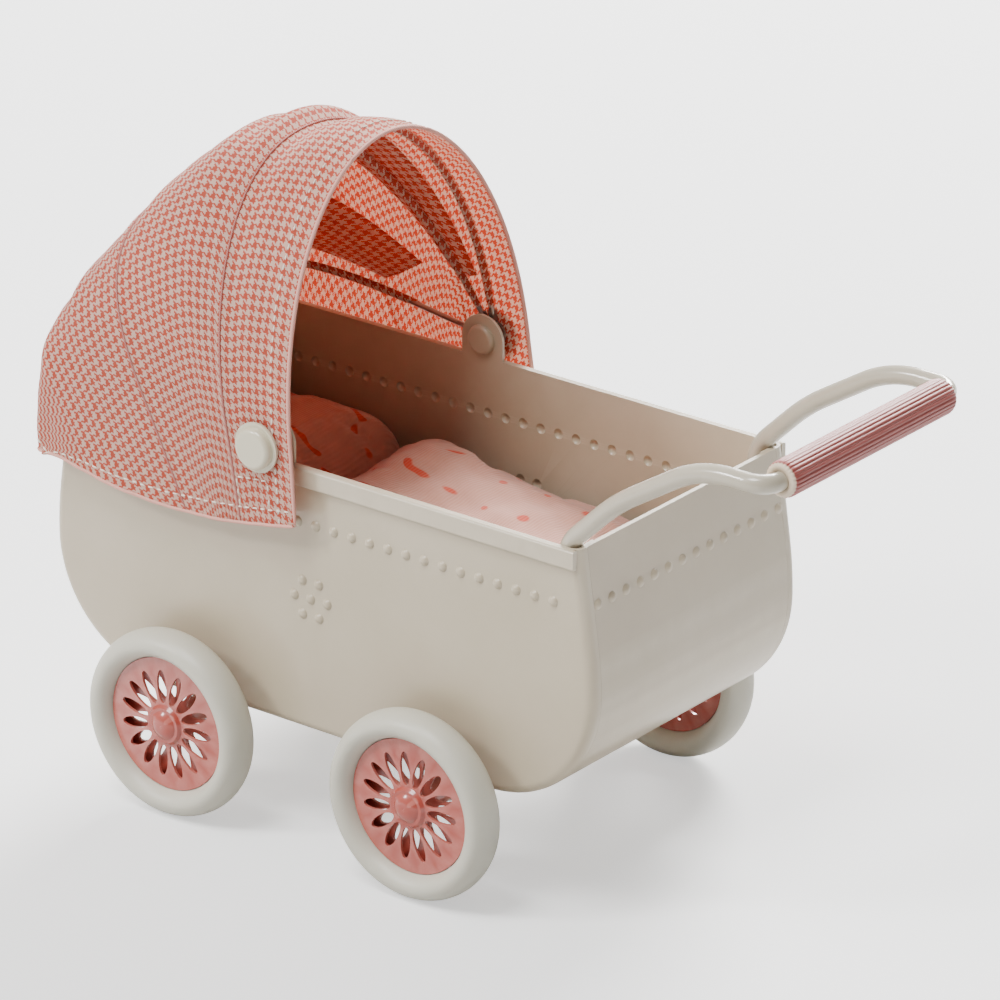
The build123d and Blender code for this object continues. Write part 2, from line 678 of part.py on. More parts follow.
# ---------------------------------------------------------------- bedding
with BuildPart() as mattress:
    add(tub_block(bed_inset, rim_z, bed_half_width))
    split(bisect_by=Plane.XY.offset(mattress_top), keep=Keep.BOTTOM)
    fillet(mattress.edges().group_by(Axis.Z)[-1], 3 * bed_gap)
save(mattress.part, "mattress")

with BuildPart() as pillow:
    with Locations((tub_x + (pillow_head_x + pillow_foot_x) / 2, 0, mattress_top + bed_gap)):
        Box(pillow_foot_x - pillow_head_x, 2 * bed_half_width, pillow_height,
            align=(Align.CENTER, Align.CENTER, Align.MIN))
    fillet(pillow.edges(), pillow_round)
save(pillow.part, "pillow")

with BuildPart() as duvet:
    with BuildSketch(side_plane(0)):
        base = mattress_top + bed_gap
        with BuildLine():
            Polyline((duvet_head_x, base), (duvet_foot_x, base), (duvet_foot_x, base + duvet_foot_height),
                     (duvet_head_x, base + duvet_head_height), (duvet_head_x, base))
        make_face()
    extrude(amount=bed_half_width, both=True)
    fillet(duvet.edges(), duvet_round)
save(duvet.part, "duvet")
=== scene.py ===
"""Finished look of a miniature tin doll pram, on the frame its CAD parts give.

Lengths are millimetres unless a name says otherwise. Places along the pram are from the middle of the tub.
"""

import bpy  # noqa: E402
import numpy as np  # noqa: E402
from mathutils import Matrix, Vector  # noqa: E402


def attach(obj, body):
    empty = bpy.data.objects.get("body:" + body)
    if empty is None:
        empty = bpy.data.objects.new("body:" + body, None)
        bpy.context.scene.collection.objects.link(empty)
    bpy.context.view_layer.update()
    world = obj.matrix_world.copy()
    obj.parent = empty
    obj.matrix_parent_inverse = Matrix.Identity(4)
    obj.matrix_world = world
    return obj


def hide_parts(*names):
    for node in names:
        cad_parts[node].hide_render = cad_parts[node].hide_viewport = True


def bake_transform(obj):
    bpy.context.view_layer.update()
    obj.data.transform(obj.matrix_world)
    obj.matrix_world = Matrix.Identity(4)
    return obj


bl_info = {
    "name": "Tin doll pram",
    "version": (1, 0, 0),
    "blender": (4, 5, 0),
    "location": "3D View > Sidebar > Pram",
    "description": "Builds the finished surfaces and materials of a tin doll pram",
    "category": "Add Mesh",
}

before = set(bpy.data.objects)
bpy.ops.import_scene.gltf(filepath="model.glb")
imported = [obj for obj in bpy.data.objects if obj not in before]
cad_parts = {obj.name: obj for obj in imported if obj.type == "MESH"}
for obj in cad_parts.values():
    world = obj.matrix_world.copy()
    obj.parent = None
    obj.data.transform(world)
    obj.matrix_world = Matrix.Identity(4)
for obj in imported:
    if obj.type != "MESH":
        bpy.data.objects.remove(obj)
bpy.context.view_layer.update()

MM = 0.001
TUB_X = -18.1
PIVOT = np.array([-9.3, 74.0])      # of the hood, along and up
GRIP = (94.5, 91.3)                 # middle of the grip, along and up


# ------------------------------------------------------------------ helpers
def place(points):
    """Tub-centred millimetres to metres in the frame."""
    return (np.asarray(points, float) + [TUB_X, 0, 0]) * MM


def smooth_keys(keys, values, at):
    """Cubic curve through values at keys, with slopes from the neighbours on each side."""
    keys = np.asarray(keys, float)
    values = np.asarray(values, float)
    slope = np.gradient(values, keys, axis=0)
    i = np.clip(np.searchsorted(keys, at, side="right") - 1, 0, len(keys) - 2)
    h = keys[i + 1] - keys[i]
    u = (at - keys[i]) / h
    h00, h10 = 2 * u**3 - 3 * u**2 + 1, u**3 - 2 * u**2 + u
    h01, h11 = 3 * u**2 - 2 * u**3, u**3 - u**2
    return h00 * values[i] + h10 * h * slope[i] + h01 * values[i + 1] + h11 * h * slope[i + 1]


def grid_faces(rows, cols, wrap_rows=False, wrap_cols=False, first=0):
    """Quads of a grid of rows by cols points, numbered row by row from first."""
    i = np.arange(rows if wrap_rows else rows - 1)[:, None]
    j = np.arange(cols if wrap_cols else cols - 1)[None, :]
    a, b = i * cols + j, i * cols + (j + 1) % cols
    c, d = ((i + 1) % rows) * cols + (j + 1) % cols, ((i + 1) % rows) * cols + j
    return np.stack([a + 0 * b, b, c, d], -1).reshape(-1, 4) + first


def make_mesh(name, points, faces, uv=None):
    """Mesh object from points in tub-centred mm, quads, and each point's pair of mm along the cloth."""
    mesh = bpy.data.meshes.new(name)
    mesh.from_pydata(place(points).tolist(), [], np.asarray(faces).tolist())
    mesh.polygons.foreach_set("use_smooth", np.ones(len(mesh.polygons), bool))
    if uv is not None:
        layer = mesh.uv_layers.new(name="cloth_mm")
        loops = np.empty(len(mesh.loops), dtype=np.int32)
        mesh.loops.foreach_get("vertex_index", loops)
        layer.data.foreach_set("uv", np.asarray(uv, float)[loops].ravel())
    mesh.update()
    obj = bpy.data.objects.new(name, mesh)
    bpy.context.scene.collection.objects.link(obj)
    return obj


def hex_colour(text):
    """sRGB hex to linear RGBA."""
    c = np.array([int(text[i:i + 2], 16) for i in (1, 3, 5)]) / 255
    c = np.where(c <= 0.04045, c / 12.92, ((c + 0.055) / 1.055) ** 2.4)
    return (*c.tolist(), 1.0)


def node(tree, kind, inputs=None, **settings):
    """Add a node: settings are its properties; inputs are values, or sockets to link from."""
    made = tree.nodes.new(kind)
    for key, value in settings.items():
        setattr(made, key, value)
    for key, value in (inputs or {}).items():
        if isinstance(value, bpy.types.NodeSocket):
            tree.links.new(value, made.inputs[key])
        else:
            made.inputs[key].default_value = value
    return made


def math(tree, operation, a, b=0.0):
    return node(tree, "ShaderNodeMath", {0: a, 1: b}, operation=operation).outputs[0]


def blend_colour(tree, factor, a, b):
    made = node(tree, "ShaderNodeMix", {0: factor, 6: a, 7: b}, data_type="RGBA")
    return made.outputs[2]


def new_material(name):
    material = bpy.data.materials.get(name) or bpy.data.materials.new(name)
    material.use_nodes = True
    tree = material.node_tree
    tree.nodes.clear()
    out = tree.nodes.new("ShaderNodeOutputMaterial")
    shader = tree.nodes.new("ShaderNodeBsdfPrincipled")
    tree.links.new(shader.outputs[0], out.inputs[0])
    return material, tree, shader, out


def object_point(tree):
    return node(tree, "ShaderNodeTexCoord").outputs["Object"]


def bump(tree, height, strength, depth_mm):
    settings = {"Height": height, "Strength": strength, "Distance": depth_mm * MM}
    return node(tree, "ShaderNodeBump", settings).outputs[0]


def enamel(name, tone, shade, gloss, coat, edge_highlight=None, orange_peel=0.12):
    """Brushed-on enamel: slow drift of tone, fine orange peel, and a painted highlight on convex edges,
    broken into patches.
    """
    material, tree, shader, _ = new_material(name)
    at = object_point(tree)
    slow = node(tree, "ShaderNodeTexNoise", {"Vector": at, "Scale": 38.0, "Detail": 4.0, "Roughness": 0.6})
    fine = node(tree, "ShaderNodeTexNoise", {"Vector": at, "Scale": 900.0, "Detail": 3.0, "Roughness": 0.5})
    drift = {"Value": slow.outputs["Fac"], "From Min": 0.35, "From Max": 0.65}
    spread = node(tree, "ShaderNodeMapRange", drift)
    colour = blend_colour(tree, spread.outputs[0], hex_colour(tone), hex_colour(shade))
    # painted highlight: convex edges, found by pointiness, turn to a paler tone of the paint, broken into
    # patches by noise
    if edge_highlight:
        edge = node(tree, "ShaderNodeNewGeometry").outputs["Pointiness"]
        lit_edge_mask = node(tree, "ShaderNodeMapRange", {"Value": edge, "From Min": 0.53, "From Max": 0.6})
        patchy = node(tree, "ShaderNodeTexNoise", {"Vector": at, "Scale": 260.0, "Detail": 5.0})
        patchy_highlight = math(tree, "MULTIPLY", lit_edge_mask.outputs[0], patchy.outputs["Fac"])
        colour = blend_colour(tree, math(tree, "MULTIPLY", patchy_highlight, 0.6), colour, hex_colour(edge_highlight))
    matt = {"Value": slow.outputs["Fac"], "To Min": gloss * 0.85, "To Max": gloss * 1.2}
    rough = node(tree, "ShaderNodeMapRange", matt)
    tree.links.new(colour, shader.inputs["Base Color"])
    tree.links.new(rough.outputs[0], shader.inputs["Roughness"])
    tree.links.new(bump(tree, fine.outputs["Fac"], orange_peel, 0.05), shader.inputs["Normal"])
    shader.inputs["Coat Weight"].default_value = coat
    shader.inputs["Coat Roughness"].default_value = 0.12
    return material


def metal(name, tone, rough):
    """Drawn steel wire: its roughness and grain vary a little along it."""
    material, tree, shader, _ = new_material(name)
    at = object_point(tree)
    drawn = node(tree, "ShaderNodeTexNoise", {"Vector": at, "Scale": 700.0, "Detail": 4.0})
    shader.inputs["Metallic"].default_value = 1.0
    shader.inputs["Base Color"].default_value = hex_colour(tone)
    range_of = {"Value": drawn.outputs["Fac"], "To Min": rough * 0.7, "To Max": rough * 1.3}
    spread = node(tree, "ShaderNodeMapRange", range_of)
    tree.links.new(spread.outputs[0], shader.inputs["Roughness"])
    tree.links.new(bump(tree, drawn.outputs["Fac"], 0.15, 0.03), shader.inputs["Normal"])
    return material


def rubber():
    """Moulded off-white rubber: soft sheen, a little light inside, and handling dust."""
    material, tree, shader, _ = new_material("pale_rubber")
    at = object_point(tree)
    dust = node(tree, "ShaderNodeTexNoise", {"Vector": at, "Scale": 90.0, "Detail": 6.0, "Roughness": 0.65})
    grain = node(tree, "ShaderNodeTexNoise", {"Vector": at, "Scale": 1500.0, "Detail": 2.0})
    colour = blend_colour(tree, dust.outputs["Fac"], hex_colour("#C9C6B8"), hex_colour("#BDB9A9"))
    tree.links.new(colour, shader.inputs["Base Color"])
    tree.links.new(bump(tree, grain.outputs["Fac"], 0.2, 0.04), shader.inputs["Normal"])
    shader.inputs["Roughness"].default_value = 0.42
    shader.inputs["Subsurface Weight"].default_value = 0.08
    shader.inputs["Subsurface Radius"].default_value = (0.002, 0.0015, 0.001)
    return material


def check_cloth():
    """Houndstooth cotton: eight threads to the repeat, four red and four pale each way, in a two and two
    twill. Light comes through the loose weave, so a single layer glows where two look dark."""
    material, tree, shader, out = new_material("check_cloth")
    uv = node(tree, "ShaderNodeUVMap", uv_map="cloth_mm").outputs[0]
    pull = node(tree, "ShaderNodeTexNoise", {"Vector": uv, "Scale": 0.3, "Detail": 3.0})
    slub = node(tree, "ShaderNodeTexNoise", {"Vector": uv, "Scale": 7.0, "Detail": 2.0})
    drift = math(tree, "MULTIPLY", pull.outputs["Fac"], 0.6)
    cell = node(tree, "ShaderNodeSeparateXYZ", {0: uv})
    warp = math(tree, "DIVIDE", math(tree, "ADD", cell.outputs[0], drift), THREAD_PITCH)
    weft = math(tree, "DIVIDE", math(tree, "ADD", cell.outputs[1], drift), THREAD_PITCH)
    i, j = math(tree, "FLOOR", warp), math(tree, "FLOOR", weft)
    warp_red = math(tree, "LESS_THAN", math(tree, "FLOORED_MODULO", i, 8.0), 4.0)
    weft_red = math(tree, "LESS_THAN", math(tree, "FLOORED_MODULO", j, 8.0), 4.0)
    step = math(tree, "FLOORED_MODULO", math(tree, "SUBTRACT", i, j), 4.0)
    over = math(tree, "LESS_THAN", step, 2.0)
    red = node(tree, "ShaderNodeMix", {0: over, 2: weft_red, 3: warp_red}).outputs[0]
    uneven = math(tree, "MULTIPLY", math(tree, "SUBTRACT", slub.outputs["Fac"], 0.5), 0.5)
    red = math(tree, "ADD", red, uneven)
    colour = blend_colour(tree, red, hex_colour("#E4C7B6"), hex_colour("#C25A46"))
    across = math(tree, "ABSOLUTE", math(tree, "SINE", math(tree, "MULTIPLY", warp, np.pi)))
    along = math(tree, "ABSOLUTE", math(tree, "SINE", math(tree, "MULTIPLY", weft, np.pi)))
    crown = node(tree, "ShaderNodeMix", {0: over, 2: along, 3: across}).outputs[0]
    tree.links.new(colour, shader.inputs["Base Color"])
    shader.inputs["Roughness"].default_value = 0.85
    shader.inputs["Sheen Weight"].default_value = 0.2
    shader.inputs["Sheen Roughness"].default_value = 0.4
    shader.inputs["Specular IOR Level"].default_value = 0.2
    normal = bump(tree, crown, 0.5, 0.08)
    tree.links.new(normal, shader.inputs["Normal"])
    through = blend_colour(tree, red, hex_colour("#FFE6D2"), hex_colour("#E4684E"))
    glow = node(tree, "ShaderNodeBsdfTranslucent", {"Color": through, "Normal": normal})
    mixed = node(tree, "ShaderNodeMixShader", {0: 0.45, 1: shader.outputs[0], 2: glow.outputs[0]})
    tree.links.new(mixed.outputs[0], out.inputs[0])
    return material


def dotted_jersey(name, shift):
    """Knitted jersey with small dots in staggered rows. Noise pulls the rows about and draws the dots out."""
    material, tree, shader, _ = new_material(name)
    at = object_point(tree)
    drift = node(tree, "ShaderNodeTexNoise", {"Vector": at, "Scale": 45.0, "Detail": 2.0}).outputs["Color"]
    aside = node(tree, "ShaderNodeVectorMath", {0: drift, 3: 0.9 * MM}, operation="SCALE").outputs[0]
    moved = node(tree, "ShaderNodeVectorMath", {0: at, 1: drift, 2: aside}, operation="MULTIPLY_ADD")
    part = node(tree, "ShaderNodeSeparateXYZ", {0: moved.outputs[0]})
    pitch = DOT_PITCH * MM
    slant = math(tree, "MULTIPLY", part.outputs[2], 0.15)
    u = math(tree, "DIVIDE", math(tree, "ADD", part.outputs[0], slant), pitch)
    v = math(tree, "DIVIDE", math(tree, "ADD", part.outputs[1], shift), pitch)
    odd = math(tree, "MODULO", math(tree, "ABSOLUTE", math(tree, "FLOOR", v)), 2.0)
    u = math(tree, "ADD", u, math(tree, "MULTIPLY", odd, 0.5))
    du = math(tree, "SUBTRACT", math(tree, "FRACT", u), 0.5)
    dv = math(tree, "SUBTRACT", math(tree, "FRACT", v), 0.5)
    squares = math(tree, "ADD", math(tree, "MULTIPLY", du, du), math(tree, "MULTIPLY", dv, dv))
    rim = {"Value": math(tree, "SQRT", squares), "From Min": 0.115, "From Max": 0.085}
    dot = node(tree, "ShaderNodeMapRange", rim).outputs[0]
    normal = node(tree, "ShaderNodeNewGeometry").outputs["Normal"]
    facing = node(tree, "ShaderNodeSeparateXYZ", {0: normal}).outputs[2]
    level = node(tree, "ShaderNodeMapRange", {"Value": facing, "From Min": 0.3, "From Max": 0.5})
    dot = math(tree, "MULTIPLY", dot, level.outputs[0])
    mottle = node(tree, "ShaderNodeTexNoise", {"Vector": at, "Scale": 400.0, "Detail": 4.0})
    base = blend_colour(tree, mottle.outputs["Fac"], hex_colour("#CB9684"), hex_colour("#BD8876"))
    tree.links.new(blend_colour(tree, dot, base, hex_colour("#C4472F")), shader.inputs["Base Color"])
    knit = node(tree, "ShaderNodeTexWave", {"Vector": at, "Scale": 520.0, "Distortion": 1.2, "Detail": 2.0})
    tree.links.new(bump(tree, knit.outputs["Fac"], 0.5, 0.12), shader.inputs["Normal"])
    shader.inputs["Roughness"].default_value = 0.9
    shader.inputs["Sheen Weight"].default_value = 0.35
    shader.inputs["Sheen Roughness"].default_value = 0.5
    shader.inputs["Specular IOR Level"].default_value = 0.15
    return material


def thread_material(name, tone):
    """Twisted sewing thread: fine slanting bands of a paler tone."""
    material, tree, shader, _ = new_material(name)
    at = object_point(tree)
    waves = {"Vector": at, "Scale": 1400.0, "Distortion": 0.5}
    twist = node(tree, "ShaderNodeTexWave", waves, bands_direction="DIAGONAL")
    colour = blend_colour(tree, twist.outputs["Fac"], hex_colour(tone), hex_colour("#EFE7DA"))
    tree.links.new(blend_colour(tree, 0.25, hex_colour(tone), colour), shader.inputs["Base Color"])
    tree.links.new(bump(tree, twist.outputs["Fac"], 0.3, 0.05), shader.inputs["Normal"])
    shader.inputs["Roughness"].default_value = 0.8
    return material


def rose_lacquer(half):
    """Dusty rose lacquer over turned wood: grain lies along the grip, and the cut ends show raw wood."""
    material, tree, shader, _ = new_material("rose_lacquer")
    at = object_point(tree)
    part = node(tree, "ShaderNodeSeparateXYZ", {0: at})
    out_along = math(tree, "ABSOLUTE", part.outputs[1])
    raw = {"Value": out_along, "From Min": (half - 0.55) * MM, "From Max": (half - 0.3) * MM}
    end = node(tree, "ShaderNodeMapRange", raw).outputs[0]
    drawn = node(tree, "ShaderNodeMapping", {"Vector": at, "Scale": (900.0, 60.0, 900.0)})
    grain = node(tree, "ShaderNodeTexNoise", {"Vector": drawn.outputs[0], "Scale": 1.0, "Detail": 5.0})
    tone = blend_colour(tree, grain.outputs["Fac"], hex_colour("#934640"), hex_colour("#A0524B"))
    tree.links.new(blend_colour(tree, end, tone, hex_colour("#D9C6AE")), shader.inputs["Base Color"])
    tree.links.new(bump(tree, grain.outputs["Fac"], 0.25, 0.06), shader.inputs["Normal"])
    shader.inputs["Roughness"].default_value = 0.45
    return material


def paint_nodes(material, slot, *starts):
    """Give a material to every CAD node whose name begins with one of these."""
    for name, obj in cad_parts.items():
        if name.startswith(starts):
            obj.data.materials.clear()
            obj.data.materials.append(material)


# ------------------------------------------------------------------ hood surface
# the hood's outline at stations from the front edge (0) to the hem behind the tub (1): the top line and the
# hem, each along and up; how far up the cloth stands straight; and how boxy the arch is
KEYS = [0.0, 0.09, 0.17, 0.30, 0.42, 0.56, 0.70, 0.82, 0.90, 1.0]
APEX = [(-7.4, 122.7), (-15.4, 122.7), (-23.6, 121.2), (-36.0, 118.6), (-45.6, 110.6), (-52.7, 101.4),
        (-58.7, 91.2), (-61.9, 81.6), (-62.2, 72.0), (-61.4, 60.0)]
HEM = [(-0.9, 61.2), (-7.2, 59.9), (-12.6, 58.8), (-17.0, 58.2), (-21.0, 57.9), (-30.0, 57.3), (-41.0, 58.0),
       (-50.0, 59.2), (-55.2, 60.2), (-59.0, 60.2)]
SPRING = [0.208, 0.225, 0.24, 0.26, 0.30, 0.36, 0.44, 0.52, 0.35, 0.0]
SQUARE = [2.0, 2.0, 2.1, 2.3, 2.7, 3.2, 3.8, 4.6, 6.0, 9.0]
HALF_WIDTH = 33.65
# bows: body, angle from +X in degrees, half width, rise, how boxy
BOWS = [("hood_front", 97.1, 32.7, 47.5, 2.0), ("hood_middle", 121.0, 31.9, 50.1, 2.0),
        ("hood_rear", 172.0, 31.05, 50.4, 4.0)]
POCKETS = [(111, 131), (150, 169)]  # angles of the bow pockets' two edges
THREAD_PITCH = 0.225                # eight threads make the check's repeat of 1.8 mm
DOT_PITCH = 5.0


def ridge(s, middle, width):
    """Smooth ridge of height 1 across the hood's stations."""
    return np.exp(-(((s - middle) / width) ** 2))


def hood_point(s, t, lift=0.0):
    """Point of the hood's cloth. s runs from the front edge (0) to the hem behind the tub (1) and t from the
    left hem (-1) over the top (0) to the right hem (1). Each line of equal s runs straight, seen from the
    side, from the hem to the top line, and follows a superellipse across, above an upright skirt. The cloth
    draws in a little between the bows. lift stands off it outwards."""
    s, t = np.broadcast_arrays(np.asarray(s, float), np.asarray(t, float))
    apex = np.stack([smooth_keys(KEYS, np.array(APEX)[:, k], s) for k in (0, 1)], -1)
    hem = np.stack([smooth_keys(KEYS, np.array(HEM)[:, k], s) for k in (0, 1)], -1)
    spring = np.interp(s, KEYS, SPRING)
    square = np.interp(s, KEYS, SQUARE)
    skirt_share = 0.12 + 0.25 * spring
    reach = 1 - np.abs(t)
    below = reach < skirt_share
    turn = np.clip((reach - skirt_share) / (1 - skirt_share), 0, 1) * np.pi / 2
    up = np.sin(turn) ** (2 / square)
    out = np.clip(np.cos(turn), 0, 1) ** (2 / square)
    share = np.where(below, spring * reach / skirt_share, spring + (1 - spring) * up)
    flare = np.where(below, 0.5 * (1 - reach / skirt_share), 0.0)
    y = np.sign(t) * (HALF_WIDTH * np.where(below, 1.0, out) + flare)
    xz = hem + (apex - hem) * share[..., None]
    # slack between the bows, and soft creases that run from the pivot
    high = np.sin(np.pi / 2 * np.clip(share, 0, 1)) ** 2
    slack = 0.55 * np.sin(np.pi * np.clip((s - 0.30) / 0.52, 0, 1)) * high
    slack += 1.3 * ridge(s, 0.165, 0.035) * high * (1 + 0.35 * np.sin(7 * t + 0.6))
    slack -= 0.7 * ridge(s, 0.225, 0.03) * high * (1 + 0.4 * np.sin(9 * t))
    slack += 0.6 * ridge(s, 0.50, 0.02) * high + 0.45 * ridge(s, 0.36, 0.02) * high
    slack += 0.75 * ridge(s, 0.27 + 0.05 * np.sin(5 * t), 0.018) * high
    slack -= 0.45 * ridge(s, 0.62 - 0.06 * np.sin(6 * t + 1), 0.03) * high
    crease = 0.16 * np.sin(46 * s + 3 * share) * np.clip(s - 0.1, 0, 1)
    crease += 0.12 * np.sin(83 * s - 5 * share + 1.3)
    ripple = 0.22 * np.sin(19 * s + 0.8) * np.clip(1 - 3 * share, 0, 1)
    away = xz - PIVOT
    away = away / np.maximum(np.linalg.norm(away, axis=-1, keepdims=True), 6)
    side = np.where(below, 1.0, out)
    xz = xz + away * ((lift + crease - slack) * (1 - side**2) ** 0.5)[..., None]
    y = y + np.sign(t) * side * (lift + crease * 0.5 + ripple * side)
    return np.stack([xz[..., 0], y, xz[..., 1]], -1)


def arch_at(angle, turn, inset):
    """Point inside the hood on the plane that passes through the pivot's line at this angle, in radians; turn
    goes from 0 at one side over the top to pi, and inset stands off the cloth inwards."""
    station = np.linspace(0, 1, 60)
    top = np.stack([smooth_keys(KEYS, np.array(APEX)[:, k], station) for k in (0, 1)], -1) - PIVOT
    round_by = np.arctan2(top[:, 1], top[:, 0]) % (2 * np.pi)
    reach = np.interp(angle, round_by, np.linalg.norm(top, axis=1)) - inset
    square = np.interp(angle, round_by, np.interp(station, KEYS, SQUARE))
    out = np.sign(np.cos(turn)) * np.abs(np.cos(turn)) ** (2 / square)
    away = reach * np.sin(turn) ** (2 / square)
    return np.stack([PIVOT[0] + away * np.cos(angle), (HALF_WIDTH - inset) * out,
                     PIVOT[1] + away * np.sin(angle)], -1)


def lengths(points, axis):
    """Distance along a grid's lines, in mm, from their first point."""
    step = np.linalg.norm(np.diff(points, axis=axis), axis=-1)
    zero = np.zeros_like(np.take(step, [0], axis=axis))
    return np.concatenate([zero, np.cumsum(step, axis=axis)], axis=axis)


def capsule_chain(name, lines, radius, dash=None, gap=0.0, around=8, cloth=False):
    """Thread along polylines in tub-centred mm: a tube, or stitches of length dash with gap between them.
    Each tube is a circle carried along the line, drawn in to a point at both ends."""
    points, faces, pair, first = [], [], [], 0
    for line in lines:
        line = np.asarray(line, float)
        run = lengths(line, 0)
        total = run[-1]
        if dash:
            count = max(int(total / (dash + gap)), 1)
            starts = (np.arange(count) + 0.5) * total / count - dash / 2
            spans = [(a, a + dash) for a in starts]
        else:
            spans = [(0.0, total)]
        for a, b in spans:
            steps = 7 if dash else max(int((b - a) / 0.8), 6)
            at = np.linspace(a, b, steps)
            mid = np.stack([np.interp(at, run, line[:, k]) for k in range(3)], -1)
            ahead = np.gradient(mid, axis=0)
            ahead /= np.linalg.norm(ahead, axis=1, keepdims=True)
            helper = np.where(np.abs(ahead[:, [1]]) < 0.9, [0, 1, 0], [1, 0, 0])
            n1 = np.cross(ahead, helper)
            n1 /= np.linalg.norm(n1, axis=1, keepdims=True)
            n2 = np.cross(ahead, n1)
            u = np.linspace(-1, 1, steps)
            fat = radius * np.sqrt(np.clip(1 - np.abs(u) ** (4 if dash else 40), 0.02, 1))
            angle = np.linspace(0, 2 * np.pi, around, endpoint=False)
            spoke = np.cos(angle)[None, :, None] * n1[:, None] + np.sin(angle)[None, :, None] * n2[:, None]
            ring = mid[:, None] + fat[:, None, None] * spoke
            points.append(ring.reshape(-1, 3))
            pair.append(np.stack(np.broadcast_arrays(at[:, None], radius * angle[None, :]), -1))
            faces.append(grid_faces(steps, around, wrap_cols=True, first=first)[:, ::-1])
            first += steps * around
    uv = np.concatenate([p.reshape(-1, 2) for p in pair]) if cloth else None
    return make_mesh(name, np.concatenate(points), np.concatenate(faces), uv)


def fold_with_hood(obj):
    """Bake the object's placement into its mesh."""
    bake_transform(obj)


def apply_modifiers(obj):
    """Replace the object's mesh with what its modifiers make of it."""
    depsgraph = bpy.context.evaluated_depsgraph_get()
    baked = bpy.data.meshes.new_from_object(obj.evaluated_get(depsgraph))
    obj.modifiers.clear()
    obj.data = baked


def hood_shell(settings):
    """One sheet of cloth, with the bows' pockets inside it, given its thickness and its check."""
    rows, cols = 130, 221
    s = np.linspace(0, 1, rows)[:, None]
    t = np.linspace(-1, 1, cols)[None, :]
    cloth = hood_point(s, t)
    uv = np.stack([lengths(cloth, 1), lengths(cloth, 0)], -1)
    uv[..., 1] = np.median(uv[..., 1], axis=1)[:, None]
    uv[..., 0] -= uv[:, cols // 2, 0][:, None]
    points, faces, pair = [cloth.reshape(-1, 3)], [grid_faces(rows, cols)], [uv.reshape(-1, 2)]
    first = rows * cols
    # each pocket is a second layer that leaves the cloth along two lines fanned out from the pivot
    lines, across = 9, 121
    bulge = np.sin(np.pi * np.linspace(0, 1, lines))[:, None] ** 0.5
    for low, high in POCKETS:
        fan = np.radians(np.linspace(low, high, lines))[:, None]
        turn = np.linspace(0.2, np.pi - 0.2, across)[None, :]
        pocket = arch_at(fan, turn, 0.5 + settings.pocket_depth / MM * bulge)
        points.append(pocket.reshape(-1, 3))
        faces.append(grid_faces(lines, across, first=first)[:, ::-1])
        pair.append(np.stack([lengths(pocket, 1), lengths(pocket, 0) + high], -1).reshape(-1, 2))
        first += lines * across
    hood = make_mesh("pleated_hood", np.concatenate(points), np.concatenate(faces), np.concatenate(pair))
    solid = hood.modifiers.new("thickness", "SOLIDIFY")
    solid.thickness = settings.cloth_thickness
    solid.offset = -1
    apply_modifiers(hood)
    hood.data.materials.clear()
    hood.data.materials.append(check_cloth())
    return hood


def hood_threads(settings):
    """Dark seams over the bows, pale stitching along the edges and the hood's rolled edge."""
    t_line = np.linspace(-1, 1, 400)
    s_line = np.linspace(0.0, 0.985, 260)
    seam = [hood_point(k + 0 * t_line, t_line, 0.08) for k in (0.185, 0.50)]
    dark = capsule_chain("hood_seams", seam, 0.2)
    dark.data.materials.append(thread_material("seam_thread", "#9E4238"))
    pale = [hood_point(0.048 + 0 * t_line, t_line, 0.05)]
    # along each side's hem, and round the patch under the stud
    patch, hem_row, patch_top = (0.075, 0.175), 0.965, 0.90
    for side in (-1, 1):
        hem = np.linspace(0.01, 0.99, 300)
        pale.append(hood_point(hem, side * (hem_row + 0 * hem), 0.05))
        short = np.linspace(*patch, 30)
        pale.append(hood_point(short, side * (patch_top + 0 * short), 0.05))
        for where in patch:
            down = np.linspace(patch_top, hem_row, 20)
            pale.append(hood_point(where + 0 * down, side * down, 0.05))
    back = np.linspace(-0.96, 0.96, 200)
    pale.append(hood_point(0.975 + 0 * back, back, 0.05))
    stitches = capsule_chain("hood_stitches", pale, 0.16, dash=settings.stitch_length / MM, gap=0.7)
    stitches.data.materials.append(thread_material("pale_thread", "#E8DCCB"))
    edge = [hood_point(0 * t_line, t_line, -0.15), hood_point(1 + 0 * t_line, t_line, -0.15)]
    edge += [hood_point(s_line, side + 0 * s_line, -0.15) for side in (-1, 1)]
    rolled = capsule_chain("hood_rolled_edge", edge, 0.38)
    rolled.data.materials.append(thread_material("rolled_cloth", "#D28B7C"))
    return [dark, stitches, rolled]


def bow_sleeves():
    """Narrow sleeve of the hood's cloth round each bow, paired with the bow's body."""
    made = []
    for body, angle, half, rise, square in BOWS:
        turn = np.linspace(0.09, np.pi - 0.09, 140)
        across = half * np.sign(np.cos(turn)) * np.abs(np.cos(turn)) ** (2 / square)
        away = rise * np.abs(np.sin(turn)) ** (2 / square)
        a = np.radians(angle)
        line = np.stack([PIVOT[0] + away * np.cos(a), across, PIVOT[1] + away * np.sin(a)], -1)
        sleeve = capsule_chain(f"sleeve_{body}", [line], 0.72, around=12, cloth=True)
        sleeve.data.materials.append(bpy.data.materials["check_cloth"])
        made.append((sleeve, body))
    return made


class TinPramSettings(bpy.types.PropertyGroup):
    """Sizes a user may change before building."""

    cloth_thickness: bpy.props.FloatProperty(
        name="Cloth thickness", description="Thickness of the hood's cotton",
        default=0.35 * MM, unit="LENGTH")
    pocket_depth: bpy.props.FloatProperty(
        name="Pocket depth", description="How far a bow's pocket stands into the hood",
        default=1.4 * MM, unit="LENGTH")
    grip_flutes: bpy.props.IntProperty(
        name="Grip flutes", description="Lengthwise flutes round the grip", default=26)
    stitch_length: bpy.props.FloatProperty(
        name="Stitch length", description="Length of one stitch", default=1.1 * MM, unit="LENGTH")


